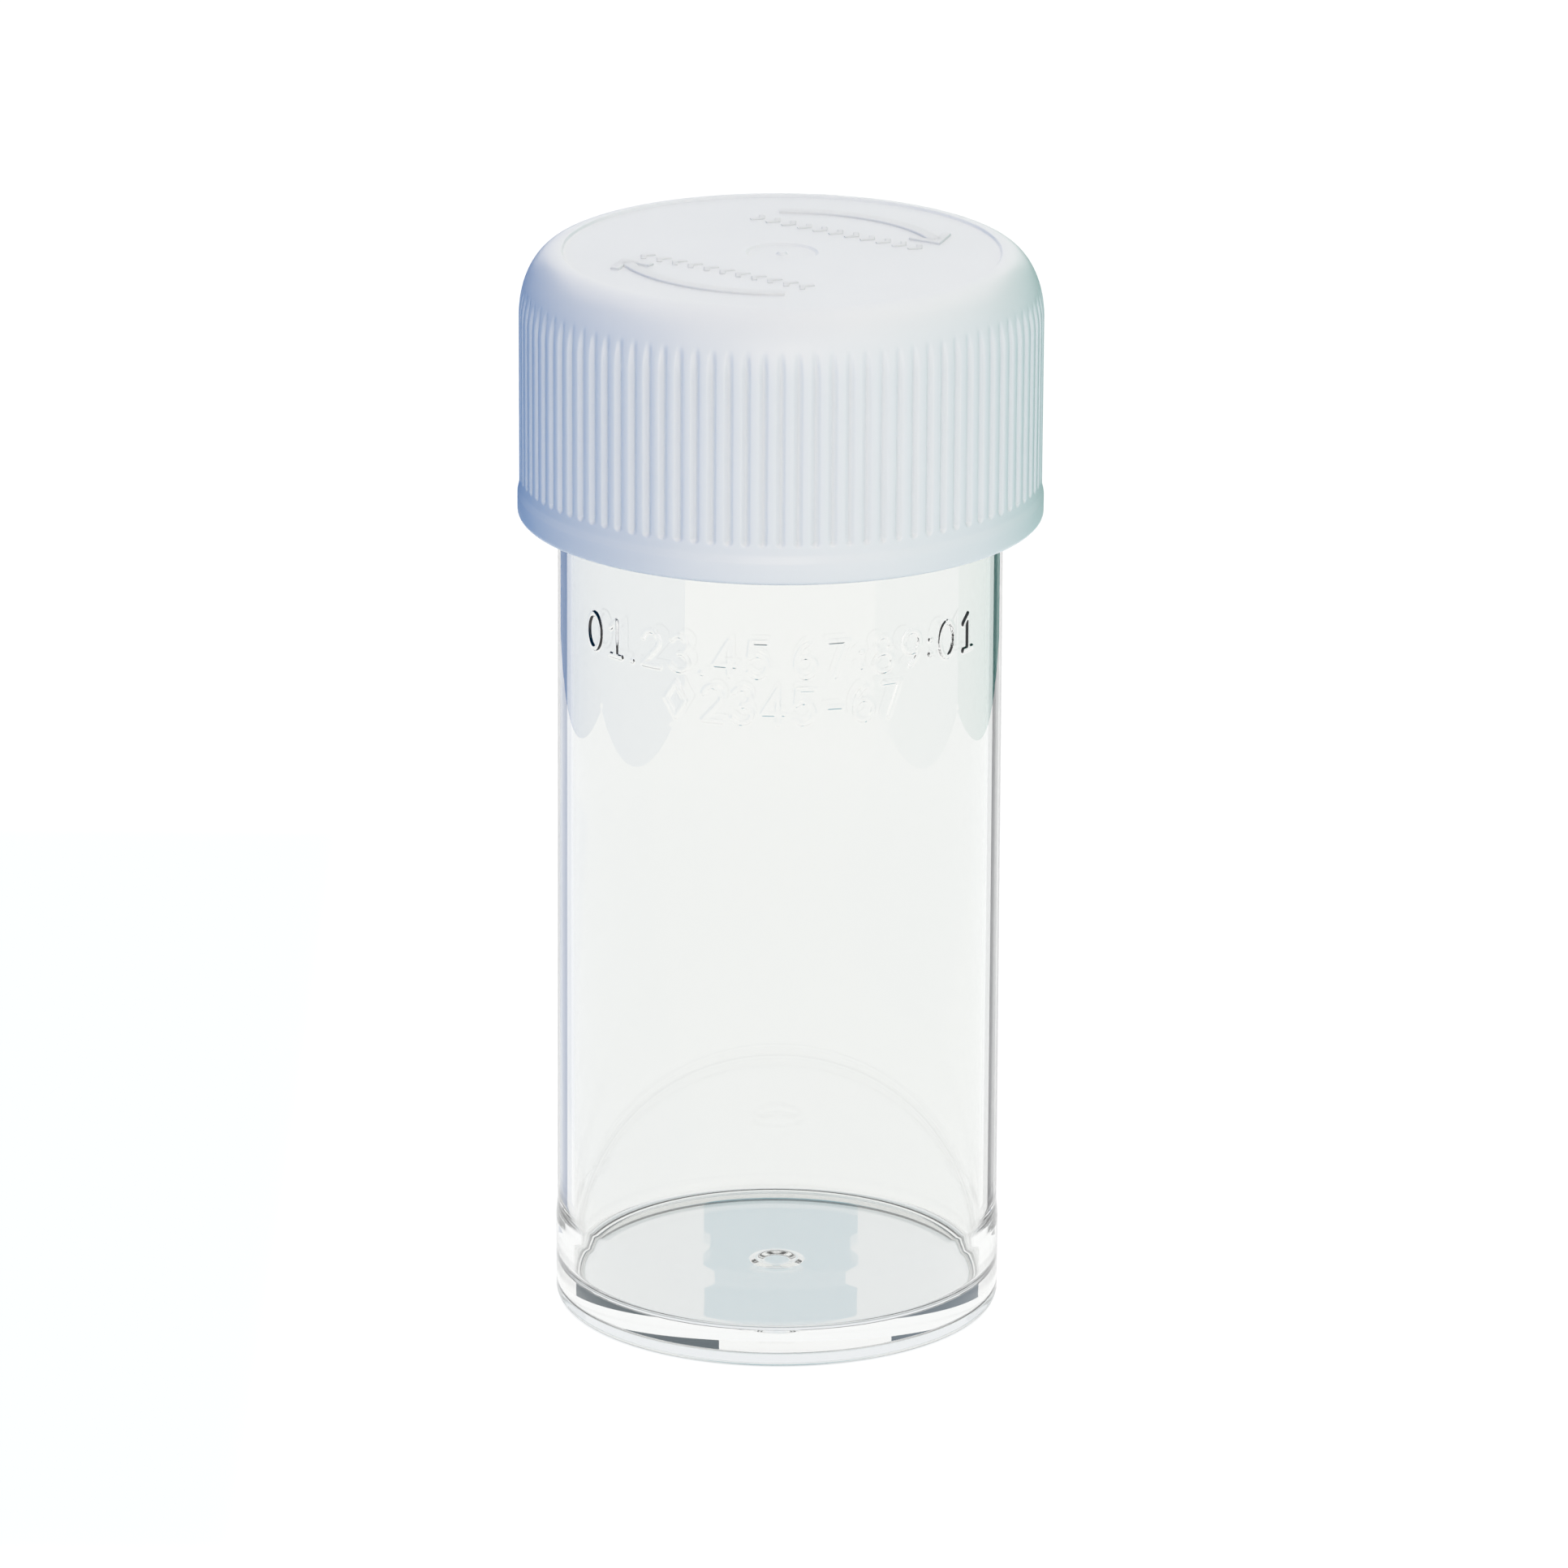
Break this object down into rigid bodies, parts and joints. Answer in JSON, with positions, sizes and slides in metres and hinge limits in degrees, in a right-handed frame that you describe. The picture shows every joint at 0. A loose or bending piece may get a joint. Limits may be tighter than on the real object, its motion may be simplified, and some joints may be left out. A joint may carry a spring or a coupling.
{
  "type": "screw-cap specimen tube",
  "caption": "Clear flat-bottomed laboratory specimen tube with a ribbed white screw cap and a sealing liner.",
  "frame": {"origin": "middle of the surface that the tube stands on, on the tube's own axis", "axes": "+Z along the tube's axis, up towards the cap; -Y is the side that carries the moulded digits"},
  "size_m": [0.0406, 0.0406, 0.0852],
  "materials": {
    "clear_polystyrene": "clear, water-white moulded polystyrene, polished",
    "white_polyethylene": "white moulded polyethylene, satin, slightly translucent",
    "liner_foam": "off-white closed-cell foamed polyethylene"
  },
  "bodies": {
    "tube": {"tube": "clear_polystyrene"},
    "liner": {"sealing_liner": "liner_foam"},
    "cap": {"screw_cap": "white_polyethylene"}
  },
  "joints": [
    {"name": "cap_lift", "type": "slide", "parent": "tube", "child": "liner", "axis": [0, 0, 1], "range_m": [0, 0.0064]},
    {"name": "cap_turn", "type": "hinge", "parent": "liner", "child": "cap", "pos_m": [0, 0, 0.0838], "axis": [0, 0, 1], "range_deg": [0, 570]}
  ],
  "couplings": [
    {"joint": "cap_lift", "follows": "cap_turn", "m_per_rad": 0.00063662}
  ]
}
